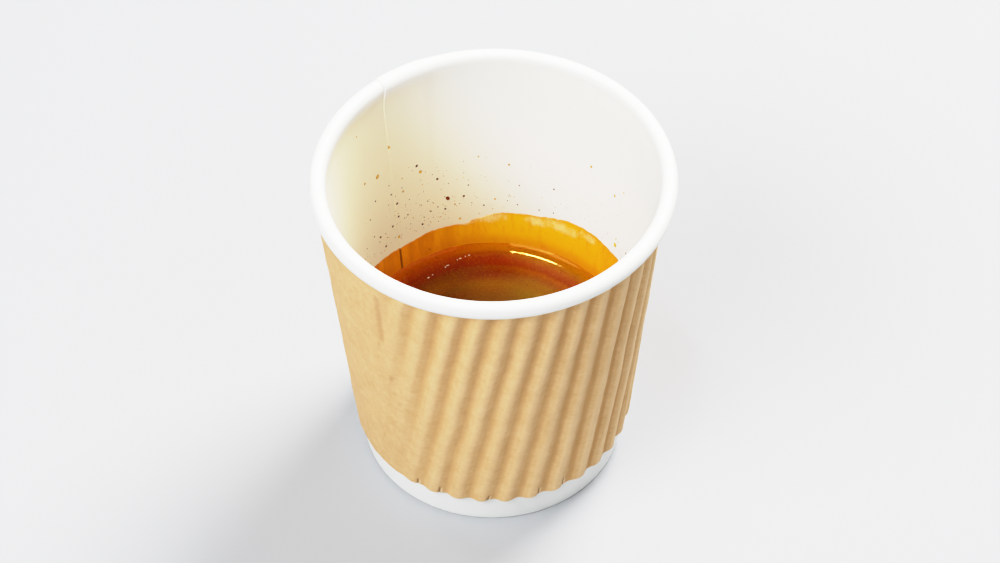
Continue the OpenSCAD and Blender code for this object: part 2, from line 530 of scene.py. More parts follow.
def kraft_paint():
    """Brown kraft: matted fibres, flecks, painted highlight on the crests and cut edges, and
    painted shade in the troughs, in the creases and in the slits at the cut edge.
    """
    paint = Paint("kraft_paper", IOR=1.4)
    sheet = paint.kept("sheet", "Vector")
    cloud = paint.noise(sheet, 0.0035, 3, 0.6)
    blotch = paint.noise(sheet, 0.0011, 3, 0.6)
    fibre = paint.noise(paint.stretched(sheet, 0.30, 1, 1), 0.00022, 3, 0.65, 0.4)
    cross = paint.noise(paint.stretched(sheet, 1, 0.25, 1), 0.00020, 2, 0.6, 0.3)
    tone = cloud * 0.35 + blotch * 0.3 + fibre * 0.35
    base = paint.ramp(tone.rise(0.30, 0.70), *zip((0.0, 0.5, 1.0), KRAFT_TONES))
    crest = paint.kept("crest")
    turn = paint.turn_and_height()[0]
    # painted highlight on the crests and painted shade in the troughs, stronger at the right,
    # where the light grazes the flutes
    right_contrast = turn.rise(*CONTRAST_FROM) * turn.rise(*CONTRAST_TO)
    base = paint.mix(crest.rise(0.60, 1.0) * (0.20 + right_contrast * 0.30), base, CREST_PAINTED_HIGHLIGHT)
    base = paint.mix(crest.rise(0.45, 0.0) * (0.34 + right_contrast * 0.36), base, TROUGH_PAINTED_SHADE)
    # dark and pale flecks lying in the paper
    fleck = paint.noise(paint.stretched(sheet, 0.5, 1, 1), 0.00045, 1, 0.5)
    base = paint.mix(fleck.rise(0.70, 0.78) * 0.35, base, FLECK_DARK)
    base = paint.mix(fleck.rise(0.27, 0.20) * 0.30, base, FLECK_PALE)
    # painted shade in the knife slits
    base = paint.mix(paint.kept("crack").rise(0.1, 0.8) * 0.8, base, SLIT_PAINTED_SHADE)
    base = paint.mix(paint.kept("burr").rise(0.2, 0.8) * 0.55, base, BURR_PALE)
    # painted shade along the creases
    base = paint.mix(paint.kept("crease") * 0.45, base, CREASE_PAINTED_SHADE)
    # painted highlight along the cut edges, where light catches them
    base = paint.mix(paint.kept("cut") * (0.25 + blotch * 0.5), base, CUT_EDGE_HIGHLIGHT)
    paint.feed("Base Color", base)
    paint.feed("Roughness", 0.78 + blotch * 0.14)
    paint.bump(fibre * 0.5 + cross * 0.25 + blotch * 0.25, 0.00006)
    return paint.material


# the drink's colour, partly its own amber and brown and partly a painted reflection of the
# stained wall: distance from the axis, then red and green at the right, in the middle and at the
# left, which is this far from the middle, in millimetres
DRINK_SIDE = 9.0
DRINK_AND_REFLECTION_TONES = (
    (12.8, (0.170, 0.080), (0.154, 0.044), (0.090, 0.012)),
    (14.8, (0.190, 0.100), (0.210, 0.057), (0.099, 0.012)),
    (15.8, (0.220, 0.095), (0.233, 0.072), (0.108, 0.026)),
    (16.8, (0.220, 0.080), (0.227, 0.059), (0.158, 0.032)),
    (17.8, (0.230, 0.085), (0.180, 0.018), (0.168, 0.038)),
    (18.9, (0.215, 0.045), (0.169, 0.010), (0.145, 0.026)),
    (20.1, (0.265, 0.052), (0.208, 0.027), (0.135, 0.014)),
    (20.7, (0.214, 0.018), (0.206, 0.008), (0.156, 0.003)),
    (21.7, (0.235, 0.025), (0.241, 0.009), (0.184, 0.005)),
    (22.4, (0.250, 0.055), (0.246, 0.016), (0.250, 0.014)),
    (23.0, (0.275, 0.080), (0.282, 0.036), (0.300, 0.023)),
    (23.4, (0.330, 0.105), (0.320, 0.064), (0.360, 0.048)),
    (23.8, (0.370, 0.112), (0.431, 0.110), (0.390, 0.058)),
    (24.7, (0.420, 0.110), (0.510, 0.130), (0.460, 0.058)),
)
DRINK_BLUE = 0.0006
AMBER_SHEEN = (1.0, 0.40, 0.05)
FROTH_GRAIN, DARK_GRAIN = (0.34, 0.13, 0.003), (0.08, 0.010, 0.0004)


def coffee_paint():
    """Espresso: a dark glossy face with fine froth grain, amber where it is thin by the wall, and
    a painted reflection of the stained wall in its colour.
    """
    paint = Paint("espresso", IOR=1.5, Roughness=0.05)
    paint.surface.inputs["Specular Tint"].default_value = (*AMBER_SHEEN, 1)
    x, y, _ = paint.split(paint.place())
    reach = ((x * x + y * y) ** 0.5) * (1 / MM)
    cloud = paint.noise(paint.place(), 0.007, 3, 0.6, 1.0)
    grain = paint.noise(paint.place(), 0.00035, 3, 0.6)
    low, high = DRINK_AND_REFLECTION_TONES[0][0], DRINK_AND_REFLECTION_TONES[-1][0]
    share = (reach - low + (cloud - 0.5) * 0.5) / (high - low)

    def tones(side):
        places = [(row[0] - low) / (high - low) for row in DRINK_AND_REFLECTION_TONES]
        return zip(places, [(*row[side], DRINK_BLUE) for row in DRINK_AND_REFLECTION_TONES])

    right, middle, left = (paint.ramp(share, *tones(side)) for side in (1, 2, 3))
    body = paint.mix(x.rise(0.0, DRINK_SIDE * MM), middle, right)
    body = paint.mix(x.rise(0.0, -DRINK_SIDE * MM), body, left)
    body = paint.mix(grain.rise(0.52, 0.70) * 0.30, body, FROTH_GRAIN)
    body = paint.mix(grain.rise(0.46, 0.30) * 0.45, body, DARK_GRAIN)
    paint.feed("Base Color", body)
    paint.bump(grain, 0.00001, 0.4)
    return paint.material


# the stain's colour round the wall, from the front past the left, the back and the right
STAIN_TONES = (
    (262, (240, 150, 6)),
    (215, (226, 132, 12)),
    (172, (112, 40, 6)),
    (154, (198, 94, 8)),
    (140, (238, 146, 12)),
    (128, (238, 142, 12)),
    (114, (234, 150, 10)),
    (100, (238, 164, 8)),
    (84, (244, 178, 6)),
    (55, (243, 170, 6)),
    (25, (240, 150, 6)),
)
# pale foam left in the stain: turn, half width in degrees, height and half height
FOAM_PATCHES = (
    (91.5, 7.5, 27.0, 1.3),
    (100.0, 4.0, 25.9, 0.5),
    (71.5, 4.5, 27.1, 1.0),
    (60.0, 8.0, 27.7, 1.3),
    (46.0, 4.0, 28.6, 0.9),
)
STREAK_BROWN = srgb(206, 108, 6)
LOW_BROWN = srgb(196, 98, 5)
STAIN_DARK_GRAIN, STAIN_PALE_GRAIN = srgb(160, 76, 8), srgb(250, 190, 40)
BAND_BROWN = srgb(190, 92, 6)
EDGE_BROWN = srgb(196, 118, 20)
FOAM_CREAM = srgb(252, 224, 150)
SEAM_BROWN, SEAM_TOP, SEAM_HALF = srgb(104, 34, 4), 25.9, 0.5
BLOT_BROWN = srgb(112, 36, 5)
# the browner side fades out towards the front between these turns
BROWN_END = (262, 200)


def stain_paint():
    """Dried crema on the wall: amber, darker low down and at its left end, with pale foam."""
    paint = Paint("crema_stain", IOR=1.4)
    turn, up = paint.turn_and_height()
    place = paint.place()
    low, high = STAIN_TONES[-1][0], STAIN_TONES[0][0]
    span = high - low
    wander = paint.noise(place, 0.004, 3, 0.6)
    share = (turn - low) / span + (wander - 0.5) * 0.11
    stops = [((a - low) / span, srgb(*c)) for a, c in reversed(STAIN_TONES)]
    base = paint.ramp(share, *stops)
    ending = turn.rise(*BROWN_END)
    streak = paint.noise(paint.stretched(place, 1, 1, 0.22), 0.0011, 3, 0.6)
    grain = paint.noise(place, 0.00028, 2, 0.6)
    base = paint.mix(streak.rise(0.50, 0.75) * 0.35, base, STREAK_BROWN)
    base = paint.mix(up.rise(LEVEL + 3.4, LEVEL + 0.2) * 0.45, base, LOW_BROWN)
    base = paint.mix(grain.rise(0.60, 0.75) * 0.4, base, STAIN_DARK_GRAIN)
    base = paint.mix(grain.rise(0.36, 0.25) * 0.3, base, STAIN_PALE_GRAIN)
    # thinner and browner towards the seam's side, in soft upright bands
    band = paint.noise(paint.stretched(place, 1, 1, 0.12), 0.0022, 2, 0.5)
    bands = turn.rise(92, 118) * ending * band.rise(0.42, 0.60)
    base = paint.mix(bands * 0.45, base, BAND_BROWN)
    base = paint.mix(paint.kept("edge").rise(0.93, 0.995) * 0.5, base, EDGE_BROWN)
    foam = None
    ragged = paint.noise(paint.stretched(place, 1, 1, 0.6), 0.0012, 4, 0.75)
    for patch_turn, patch_half, patch_up, patch_tall in FOAM_PATCHES:
        across = (turn - patch_turn) / patch_half
        along = (up - patch_up) / patch_tall
        inside = across * across + along * along + (ragged - 0.5) * 5.5
        patch = inside.rise(1.5, -0.6)
        foam = patch if foam is None else foam.most(patch)
    base = paint.mix(foam * 0.62, base, FOAM_CREAM)
    # coffee drawn along the board's cut end
    past = (turn - SEAM_TURN) * (1 / SEAM_HALF)
    seam = (past * past).rise(1.0, 0.3) * up.rise(SEAM_TOP, SEAM_TOP - 0.7)
    base = paint.mix(seam * 0.85, base, SEAM_BROWN)
    blot = paint.noise(place, 0.0016, 3, 0.7)
    blots = turn.rise(139, 152) * ending * blot.rise(0.42, 0.62)
    base = paint.mix(blots * 0.65, base, BLOT_BROWN)
    paint.feed("Base Color", base)
    paint.feed("Roughness", 0.28 + streak * 0.2)
    paint.bump(streak * 0.5 + grain * 0.5, 0.00003)
    return paint.material


DROP_CORE = (0.10, 0.04, 0.01)


def speck_paint():
    """Dried drops: each its own brown, darker where it is thickest."""
    paint = Paint("dried_drops", IOR=1.2)
    grain = paint.noise(paint.place(), 0.0002, 2)
    paint.feed("Base Color", paint.mix(grain * 0.4, paint.kept("tint", "Color"), DROP_CORE))
    paint.feed("Roughness", 0.3 + grain * 0.2)
    return paint.material


# ---------------------------------------------------------------- the white cup

SEAM_TURN = 131.6
SEAM_LAP = 16.0
SEAM_LIFT = 0.16
SEAM_STEP = 0.12  # degrees over which the cut end steps
SEAM_FADE = 5  # degrees over which the board's buried end fades away
WAVE_DEPTH, WAVE_CELL = 0.05, 16.0
CURL_SHIFT = 40
CUP_STEP, BASE_STEP = 0.75, 1.25  # degrees
RIM_SHIFT, RIM_SHIFT_AT = 0.5, (60.3, 62.6)
# the turn where the lining's painted warm shade is strongest and how far it fades, in degrees
SHADE_TURN, SHADE_WIDE = 150.0, 60.0
wall_wave = Grain(11, around=14, tall=32)


def seam_inside(turn):
    """How far the board's inner face stands in where its ends lap, 0 to 1."""
    past = turn_from(turn, SEAM_TURN)
    return rise(past, SEAM_STEP, -SEAM_STEP) * rise(past, -SEAM_LAP - SEAM_FADE, -SEAM_LAP)


def seam_outside(turn):
    """The same for the outer face, from the board's other end."""
    past = turn_from(turn, SEAM_TURN - SEAM_LAP)
    return rise(past, -SEAM_STEP, SEAM_STEP) * rise(past, SEAM_LAP + SEAM_FADE, SEAM_LAP)


def wall_unevenness(turn, z):
    """Millimetres that the board stands out of round, none near the rim."""
    return WAVE_DEPTH * wall_wave.round_cup(turn, z, WAVE_CELL) * rise(z, 60.0, 45.0)


def inside_surface(turn, z):
    """Radius of the cup's inner face, with its seam and slight unevenness."""
    lift = SEAM_LIFT * seam_inside(turn)
    return wall_r(z) - BOARD - lift + wall_unevenness(turn, z)


def rim_lean(z):
    """The rolled rim sits a little to the right of the wall's axis."""
    return RIM_SHIFT * rise(z, *RIM_SHIFT_AT)


def lining_painted_shade(turn, z):
    """How much painted warm shade the lining gets, 0 to 1: most on the seam's side and low down.
    """
    past = turn_from(turn, SHADE_TURN)
    start = SHADE_WIDE + 1.2 * (z - 34.0)
    side = rise(past + SHADE_TURN, start, start + SHADE_WIDE) * (past < 0)
    side = side + rise(past, SHADE_WIDE, 0) * (past >= 0)
    return 0.06 + 0.94 * side * rise(z, ROLL_Z + 0.2, ROLL_Z - 2.5)


def board_line():
    """The middle of the cup's board in section, from the fold's end to the curl's end."""
    u_r = (POCKET + BOARD) / 2
    u_z = u_r + BOARD / 2
    wall_mid = lambda z: wall_r(z) - BOARD / 2
    fold_mid = lambda z: wall_mid(z) - POCKET - BOARD
    line = [(fold_mid(z), z) for z in np.linspace(FOLD_H, u_z + 0.3, 6)]
    middle = (fold_mid(u_z) + wall_mid(u_z)) / 2
    for a in np.radians(np.linspace(180, 360, 11)):
        line.append((middle + u_r * math.cos(a), u_z + u_r * math.sin(a)))
    line += [(wall_mid(z), z) for z in np.linspace(u_z + 0.4, ROLL_Z - 0.3, 40)]
    curl = ROLL_R - BOARD / 2
    for a in np.radians(np.linspace(176, -126, 38)):
        line.append((ROLL_CENTRE_R + curl * math.cos(a), ROLL_Z + curl * math.sin(a)))
    return np.array(line)


def make_cup(material):
    """Wall, folded foot and rolled rim in one closed board, finer by its two ends' steps."""
    even = np.arange(0, 360, CUP_STEP)
    near = np.linspace(-0.6, 0.6, 17)
    turn = np.concatenate([even, SEAM_TURN + near, SEAM_TURN - SEAM_LAP + near])
    turn = np.unique(np.round(turn % 360, 4))
    line = board_line()
    along = np.gradient(line, axis=0)
    along /= np.linalg.norm(along, axis=1)[:, None]
    side = np.stack([along[:, 1], -along[:, 0]], -1)
    r, z = line[:, 0], line[:, 1]
    on_wall = rise(z, FOLD_H - 1.0, FOLD_H + 1.5)
    t = turn[:, None]
    lift_in = SEAM_LIFT * seam_inside(t)
    lift_out = SEAM_LIFT * seam_outside(t)
    wave = wall_unevenness(t, z[None]) * on_wall
    # the curl is never quite round
    roll_wave = WAVE_DEPTH * wall_wave.round_cup(t + CURL_SHIFT, 200.0 + 0 * z[None], WAVE_CELL)
    curl_share = rise(z[None], ROLL_Z - 2.0, ROLL_Z)
    lift_in = lift_in * np.maximum(on_wall, 0)[None] + roll_wave * curl_share
    half = BOARD / 2
    outer = half + lift_out * np.where(z < WRAP_LOW, 1.0, 0.3)
    inner = half + lift_in
    face_a = spin(t, r + side[:, 0] * outer + wave, z + side[:, 1] * outer)
    face_b = spin(t, r - side[:, 0] * inner + wave, z - side[:, 1] * inner)
    loop = np.concatenate([face_a, face_b[:, ::-1]], axis=1)
    # painted warm shade, on the inner face only
    cream = np.concatenate([0 * face_a[..., 2], lining_painted_shade(t, face_b[:, ::-1, 2])], axis=1)
    loop[..., 0] += rim_lean(loop[..., 2])
    loop[..., 2] = np.maximum(loop[..., 2], 0.0)
    cols, rows = loop.shape[:2]
    points, faces = loop.reshape(-1, 3), ring_faces(cols, rows)
    data = {"cream": cream.ravel()}
    piece = add_mesh("cup_shell", points, faces, material, data)
    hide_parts("cup_wall")


BASE_GAP = 0.05
BASE_DISH = 0.25
SKIRT_LOW = 0.6


def make_base(material):
    """The base disc with its edge turned down into the foot's fold, slightly dished."""
    edge = lambda z: wall_r(z) - BOARD - BASE_GAP
    radii = np.linspace(0.6, 1.0, 8) ** 0.8
    radii = np.concatenate([np.linspace(0.12, 0.55, 6), radii])
    under = BASE_UP - BASE_BOARD
    inner = edge(under) - BASE_BOARD
    dish = lambda f: -BASE_DISH * rise(f, 1.0, 0.55)
    top = [(f * (edge(BASE_UP) - 0.3), BASE_UP + dish(f)) for f in radii]
    top += [(edge(BASE_UP) - 0.08, BASE_UP - 0.04), (edge(BASE_UP - 0.25), BASE_UP - 0.25)]
    skirt = [(edge(z), z) for z in np.linspace(BASE_UP - 0.8, SKIRT_LOW, 6)]
    back = [(edge(z) - BASE_BOARD, z) for z in np.linspace(SKIRT_LOW, under - 0.35, 6)]
    back += [(inner - 0.06, under - 0.1), (inner - 0.35, under)]
    bottom = [(f * (inner - 0.5), under + dish(f)) for f in radii[::-1]]
    section = np.array(top + skirt + back + bottom)
    turn = np.arange(0, 360, BASE_STEP)
    points = spin(turn[:, None], section[None, :, 0], section[None, :, 1])
    cols, rows = points.shape[:2]
    poles = [[0, 0, BASE_UP - BASE_DISH], [0, 0, under - BASE_DISH]]
    points = np.vstack([points.reshape(-1, 3), poles])
    piece = add_mesh("base_disc", points, turned_faces(cols, rows), material)
    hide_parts("cup_base")


# ---------------------------------------------------------------- the kraft wrap

FAN_SLOPE = (CREST_TOP_R - CREST_LOW_R) / (WRAP_TOP - WRAP_LOW)
FAN_SIN = math.sin(math.atan(FAN_SLOPE))
FAN_LOW = CREST_LOW_R / FAN_SIN
FAN_TOP = CREST_TOP_R / FAN_SIN
FAN_MIDDLE = LAP_TURN + 180
LAP_SINK = 0.35
UNDER_LAP_SINK = 0.30
LAP_STEP = 0.3  # degrees
# degrees inside and outside the lap's edges over which the flutes come up
FLUTE_IN, FLUTE_OUT = 7.0, 23.0
TROUGH_ROUND = 1.2
WRAP_COLUMNS = 960
LIP = 0.07
WRAP_LEAN = 0.15
CUT_HIGH = 0.28
# the knife's slits: half width, the burr's distance beside it, depth and share without one
KNIFE_HALF = 0.17
BURR_OFF = 0.36
KNIFE_DEPTH = 0.16
NO_SLIT = 0.30
# places of the crests at the front, across the flutes from the fan's middle, which a
# corrugator and a hasty wrap leave a little uneven
FRONT_CRESTS = (-65.9, -61.4, -57.0, -52.6, -48.2, -43.6, -39.0, -33.7, -29.1, -24.9)
FIRST_CREST = -15


def crest_count(x):
    """Runs up by one from crest to crest across the sheet."""
    known_x = np.array(FRONT_CRESTS)
    known_n = FIRST_CREST + np.arange(len(FRONT_CRESTS))
    # past the known ones the flutes are even
    before, after = 10, 40
    ends = known_x[0] - before * FLUTE, known_x[-1] + after * FLUTE
    xs = np.concatenate([ends[:1], known_x, ends[1:]])
    ns = np.concatenate([[known_n[0] - before], known_n, [known_n[-1] + after]])
    return np.interp(x, xs, ns)


# soft creases pressed into the paper beside the lap: turn past the lap's middle in
# degrees, height of the lower end, length, half width, depth and lean in degrees
CREASES = (
    (24.0, 45.5, 14.0, 0.50, 0.12, 2),
    (21.8, 43.6, 2.2, 0.24, 0.12, 8),
    (28.0, 29.0, 2.2, 0.30, 0.08, 16),
    (25.5, 35.0, 3.0, 0.40, 0.06, 10),
    (17.0, 15.0, 3.6, 0.09, 0.10, -3),
    (-20.0, 30.0, 3.0, 0.25, 0.08, 0),
    (-22.5, 46.0, 4.0, 0.30, 0.10, -6),
)
sheet_grain = Grain(23, around=64, tall=64)
dent_grain = Grain(29, around=97, tall=64)
flute_luck = np.random.RandomState(31).uniform(0, 1, (160, 4))


def wrap_paper(turn, rho):
    """Radius and height of the wrap's outer face, its marks and its place on the sheet."""
    past_lap = turn_from(turn, LAP_TURN)
    psi = turn_from(turn, FAN_MIDDLE) * math.radians(1) * FAN_SIN
    x, y = rho * np.sin(psi), rho * np.cos(psi)
    z = WRAP_LOW + (rho - FAN_LOW) * math.cos(math.atan(FAN_SLOPE))
    up = z - WRAP_LOW
    # each crest line wanders a little
    x_flute = x + 0.16 * sheet_grain(x / 5.0, y / 7.0) + 0.05 * sheet_grain(x / 1.7 + 9, y / 2.2)
    count = crest_count(x_flute)
    flute = np.round(count)
    luck = flute_luck[(flute.astype(int) + 60) % 160]
    part = count - flute
    trough = ((1 - np.cos(2 * np.pi * part)) / 2) ** TROUGH_ROUND
    # pressed flat by the lap, over a few flutes' width
    fluted = rise(np.abs(past_lap), LAP_HALF - FLUTE_IN, LAP_HALF + FLUTE_OUT)
    depth = CREST_LOW_R + (rho - FAN_LOW) * FAN_SIN - wall_r(z) - WRAP_GAP - PAPER
    uneven = 0.92 + 0.08 * luck[..., 0] + 0.10 * sheet_grain(x / 9.0 + 3, y / 11.0)
    # the outer end of the sheet lies over the inner one; its edge faces backwards
    over = rise(past_lap, -LAP_HALF - LAP_STEP, -LAP_HALF + LAP_STEP)
    lap_sink = LAP_SINK + UNDER_LAP_SINK * (1 - over) * rise(past_lap, 30, -30)
    sink = lap_sink + (1 - (1 - trough) * uneven - lap_sink) * fluted
    # shallow dents in the pressed paper and in the flutes
    dents = 0.07 * dent_grain.round_cup(turn, z, 5.0)
    dents = dents + 0.03 * dent_grain.round_cup(turn + 77, z + 13, 2.2)
    r = CREST_LOW_R + (rho - FAN_LOW) * FAN_SIN - depth * sink
    r = r - 0.05 + dents * (0.6 + 0.6 * (1 - fluted))
    # slits where the knife crushed a flute's flank at the lower edge
    length = 2.0 + 3.0 * luck[..., 1]
    across = (part - 0.24 - 0.08 * luck[..., 2]) * FLUTE + 0.1 * sheet_grain(x / 2.0, y / 1.1)
    slit = (luck[..., 3] > NO_SLIT) * rise(fluted, 0.1, 0.5)
    crack = np.exp(-((across / KNIFE_HALF) ** 2)) * rise(up, length, length * 0.5) * slit
    burr = np.exp(-(((across - BURR_OFF) / KNIFE_HALF) ** 2))
    burr = burr * rise(up, length * 0.9, length * 0.4) * slit
    crease = 0 * crack
    deep = KNIFE_DEPTH * crack
    for mark_turn, mark_low, mark_long, half, depth_in, lean in CREASES:
        off = (past_lap - mark_turn) * math.radians(1) * CREST_LOW_R
        off = off - (z - mark_low) * math.tan(math.radians(lean))
        off = off + 0.12 * sheet_grain(z / 1.3 + mark_turn, 0 * z)
        end = min(1.2, mark_long / 2)
        line = np.exp(-((off / half) ** 2)) * rise(z, mark_low, mark_low + end)
        line = line * rise(z, mark_low + mark_long, mark_low + mark_long - end)
        crease = np.maximum(crease, line)
        deep = np.maximum(deep, depth_in * line)
    r = r - deep
    crest = np.clip(1 - sink, 0, 1)
    full = WRAP_TOP - WRAP_LOW
    cut = rise(up, CUT_HIGH, 0.05) + rise(up, full - 0.25, full - 0.05) + 0 * crest
    marks = {"crest": crest, "crack": crack, "burr": burr, "crease": crease, "cut": cut}
    return r, z, marks, x, y


def make_wrap(material):
    """The fluted sheet, closed round the cup at its lap."""
    turn = LAP_TURN + 180 + np.linspace(-180, 180, WRAP_COLUMNS, endpoint=False)
    rows = [0, 0.0012, 0.003, 0.006], np.linspace(0.010, 0.994, 114), [0.997, 1.0]
    rows = np.concatenate(rows)
    rho = FAN_LOW + (FAN_TOP - FAN_LOW) * rows
    r, z, marks, x, y = wrap_paper(turn[:, None], rho[None, :])
    # the cut edges are a little rounded
    lip = rise(rows, 0.0045, 0.0) + rise(rows, 0.9955, 1.0)
    outer = spin(turn[:, None], r - LIP * lip ** 2, z)
    # the hidden inner face needs fewer rows
    pick = np.round(np.linspace(1, 0, 16) * (len(rows) - 1)).astype(int)
    under_r = np.maximum(r[:, pick] - PAPER, wall_r(z[:, pick]) + 0.05)
    inner = spin(turn[:, None], under_r, z[:, pick])
    loop = np.concatenate([outer, inner], axis=1)
    # the wrap leans a hair to the left
    loop[..., 0] -= WRAP_LEAN * (loop[..., 2] - WRAP_LOW) / (WRAP_TOP - WRAP_LOW)
    grab = lambda field: np.concatenate([field, field[:, pick]], axis=1).ravel()
    sheet = np.stack([grab(x), grab(y), 0 * grab(x)], -1) * MM
    data = {key: grab(field) for key, field in marks.items()}
    data["sheet"] = sheet
    points, faces = loop.reshape(-1, 3), ring_faces(*loop.shape[:2])
    piece = add_mesh("kraft_wrap", points, faces, material, data)
    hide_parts("ripple_wrap")


# ---------------------------------------------------------------- the drink and its stain

CONTACT = LEVEL + 0.1
MENISCUS_H = 1.7
CAPILLARY = 2.2
DRINK_STEP = 0.6  # degrees
# between the drink and the wall at its edge and lower down, and over the base
WALL_GAP, SIDE_GAP, UNDER_GAP = 0.02, 0.06, 0.08
# froth at the wall: least unevenness, the most more of it, its turn and its spread
FROTH_ROUGH = (0.012, 0.05, 118, 26)
meniscus_grain = Grain(41, around=150, tall=4)


def meniscus(lift, share):
    """Distance from the wall and height over the pool where the drink climbs the wall."""
    height = lift * share

    def reach(h):
        slope = 2 * np.arcsin(h / (2 * CAPILLARY))
        return -CAPILLARY * (np.log(np.tan(slope / 4)) + 2 * np.cos(slope / 2))

    return reach(height) - reach(lift), height


def make_espresso(material):
    """The drink from the base up, with its edge climbing the wall."""
    t = np.arange(0, 360, DRINK_STEP)[:, None]
    # froth at the wall makes the climb a little uneven, most of all left of the back
    least, more, middle, spread = FROTH_ROUGH
    rough = least + more * np.exp(-((turn_from(t, middle) / spread) ** 2))
    lift = MENISCUS_H * (1 + rough * meniscus_grain.round_cup(t, 0 * t, 1.0))
    share = np.concatenate([np.linspace(1, 0.3, 22), np.geomspace(0.27, 0.012, 16)])
    away, height = meniscus(lift, share[None])
    pool = CONTACT - MENISCUS_H
    edge_r = inside_surface(t, CONTACT + 0 * t) - WALL_GAP
    last = edge_r - away[:, -1:]
    r_in = last * np.linspace(0.93, 0.12, 9)[None]
    r_top = np.concatenate([edge_r - away, r_in], axis=1)
    calm = height[:, -1:] * np.linspace(0.8, 0, 9)[None]
    z_top = pool + np.concatenate([height, calm], axis=1)
    low = BASE_UP + UNDER_GAP
    z_side = low + (CONTACT - low) * np.linspace(1.0, 0.0, 12)[1:]
    z_side = z_side[None] + 0 * t
    r_side = inside_surface(t, z_side) - SIDE_GAP
    r_low = r_side[:, -1:] * np.linspace(0.96, 0.1, 8)[None]
    r = np.concatenate([r_top[:, ::-1], r_side, r_low], axis=1)
    z = np.concatenate([z_top[:, ::-1], z_side, 0 * r_low + low], axis=1)
    points = spin(t, r, z)
    faces = turned_faces(*points.shape[:2])
    points = np.vstack([points.reshape(-1, 3), [[0, 0, pool], [0, 0, low]]])
    piece = add_mesh("espresso_shot", points, faces, material)
    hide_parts("espresso")


# the stain's upper edge: turn in degrees and height
STAIN_TOP = (
    (-205, 26.2),
    (-180, 26.4),
    (-135, 26.8),
    (-90, 27.4),
    (-45, 28.4),
    (0, 29.4),
    (27.6, 29.9),
    (35.5, 29.8),
    (42.8, 30.1),
    (49.2, 30.0),
    (55.9, 29.8),
    (63.6, 29.0),
    (70.9, 28.3),
    (83.6, 28.1),
    (87.8, 27.8),
    (91.9, 27.4),
    (93.3, 27.0),
    (98.5, 26.4),
    (100.0, 25.8),
    (107.5, 25.9),
    (116.4, 26.2),
    (125.3, 25.7),
    (131.9, 25.6),
    (139.1, 25.9),
    (147.9, 26.2),
    (155, 26.2),
)
STAIN_STEP = 0.5  # degrees
STAIN_RAGGED = 0.09
STAIN_BELOW = 0.6  # how far it goes on under the drink's level
# the film's thickness, how much more it has by its edge, and its least
FILM, FILM_EDGE, FILM_LEAST = 0.045, 0.035, 0.012
edge_grain = Grain(43, around=240, tall=4)


def make_stain(material):
    """A thin film of dried crema on the wall, from under the drink's level up."""
    stops = np.array(STAIN_TOP)
    turn = stops[0, 0] + np.arange(0, 360, STAIN_STEP)
    top = np.interp(turn, stops[:, 0], stops[:, 1])
    top = top + STAIN_RAGGED * edge_grain.round_cup(turn, 0 * turn, 1.0)
    low = LEVEL - STAIN_BELOW
    share = np.concatenate([np.linspace(0, 0.9, 16), [0.94, 0.97, 0.985, 0.995, 1.0]])
    z = low + (top[:, None] - low) * share[None]
    t = turn[:, None]
    # thickest just inside its edge, where it dried last
    film = FILM + FILM_EDGE * rise(share, 0.93, 0.985)[None]
    film = film * rise(share, 1.0005, 0.985)[None] + FILM_LEAST
    r_wall = inside_surface(t, z)
    air = spin(t, r_wall - film, z)
    back = spin(t, r_wall - FILM_LEAST / 2, z)[:, ::-1]
    loop = np.concatenate([air, back], axis=1)
    cols, rows = loop.shape[:2]
    edge = np.tile(np.concatenate([share, share[::-1]]), cols)
    points, faces = loop.reshape(-1, 3), ring_faces(cols, rows)
    add_mesh("crema_stain", points, faces, material, {"edge": edge})


DROP_TINTS = {
    "dark": srgb(78, 30, 4),
    "red": srgb(124, 40, 4),
    "tan": srgb(196, 146, 44),
    "olive": srgb(206, 164, 44),
}
# painted glint: the froth flecks' pale colour stands in for glints off the froth
GLINT_FLECK_TINT = (0.95, 0.80, 0.58)
DROP_GAP = 0.004
# a drop's shade from its foot to its top, and how much paler a tan one's middle is
DROP_SHADES, TAN_MIDDLE = (0.55, 0.6, 1.0, 1.0), 1.35
